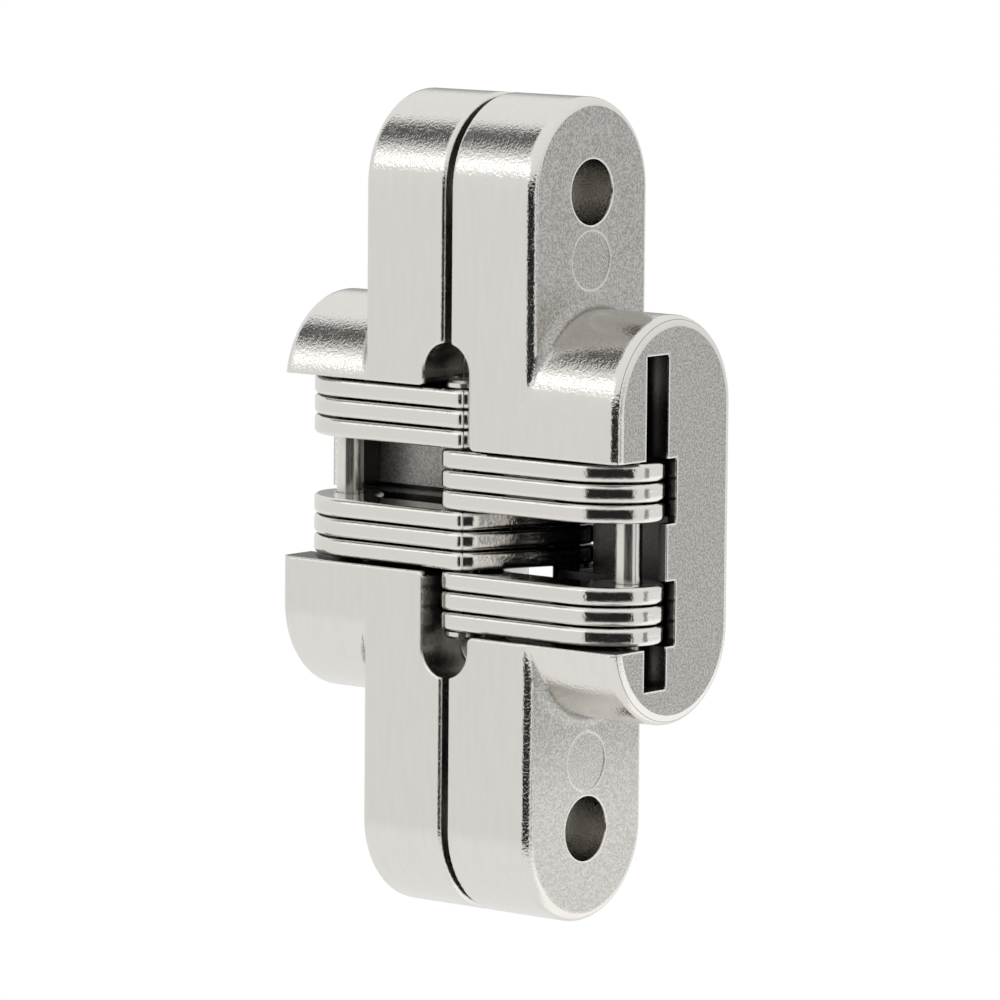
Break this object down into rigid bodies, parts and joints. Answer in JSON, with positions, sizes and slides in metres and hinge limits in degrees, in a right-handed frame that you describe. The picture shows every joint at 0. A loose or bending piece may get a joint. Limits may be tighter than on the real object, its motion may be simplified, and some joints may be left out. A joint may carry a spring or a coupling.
{
  "type": "concealed door hinge",
  "caption": "Concealed door hinge with round-ended mortise leaves joined by crossed stacks of bent link plates, shown closed; the door swings through half a turn",
  "frame": {"origin": "middle of the closed hinge, in the seam between the two leaves", "axes": "+X from the jamb leaf to the door leaf across the seam, +Y away from the link mouths to the side the door swings to, +Z along the hinge and its pins"},
  "size_m": [0.0314, 0.0136, 0.06],
  "materials": {
    "casting": "satin nickel plate on cast zinc",
    "link_steel": "bright nickel plate on stamped steel",
    "pin_steel": "bright drawn steel"
  },
  "bodies": {
    "jamb": {"jamb_body": "casting", "jamb_pivot_pin": "pin_steel"},
    "jamb_links": {"jamb_link_1": "link_steel", "jamb_link_2": "link_steel", "jamb_link_3": "link_steel", "jamb_link_4": "link_steel", "jamb_link_5": "link_steel", "jamb_link_6": "link_steel", "centre_pin": "pin_steel", "door_slide_pin": "pin_steel"},
    "door_links": {"door_link_1": "link_steel", "door_link_2": "link_steel", "door_link_3": "link_steel", "door_link_4": "link_steel", "door_link_5": "link_steel", "door_link_6": "link_steel", "jamb_slide_pin": "pin_steel"},
    "door": {"door_body": "casting", "door_pivot_pin": "pin_steel"}
  },
  "joints": [
    {"name": "jamb_pivot", "type": "hinge", "parent": "jamb", "child": "jamb_links", "pos_m": [-0.0031, 0.00345, 0], "axis": [0, 0, 1], "range_deg": [0, 112.5]},
    {"name": "cross_pivot", "type": "hinge", "parent": "jamb_links", "child": "door_links", "pos_m": [0, -0.00435, 0], "axis": [0, 0, 1], "range_deg": [-45, 0]},
    {"name": "door_pivot", "type": "hinge", "parent": "door_links", "child": "door", "pos_m": [0.0031, 0.00345, 0], "axis": [0, 0, 1], "range_deg": [0, 112.5]}
  ],
  "couplings": [
    {"joint": "cross_pivot", "follows": "jamb_pivot", "ratio": -0.4},
    {"joint": "door_pivot", "follows": "jamb_pivot", "ratio": 1}
  ]
}
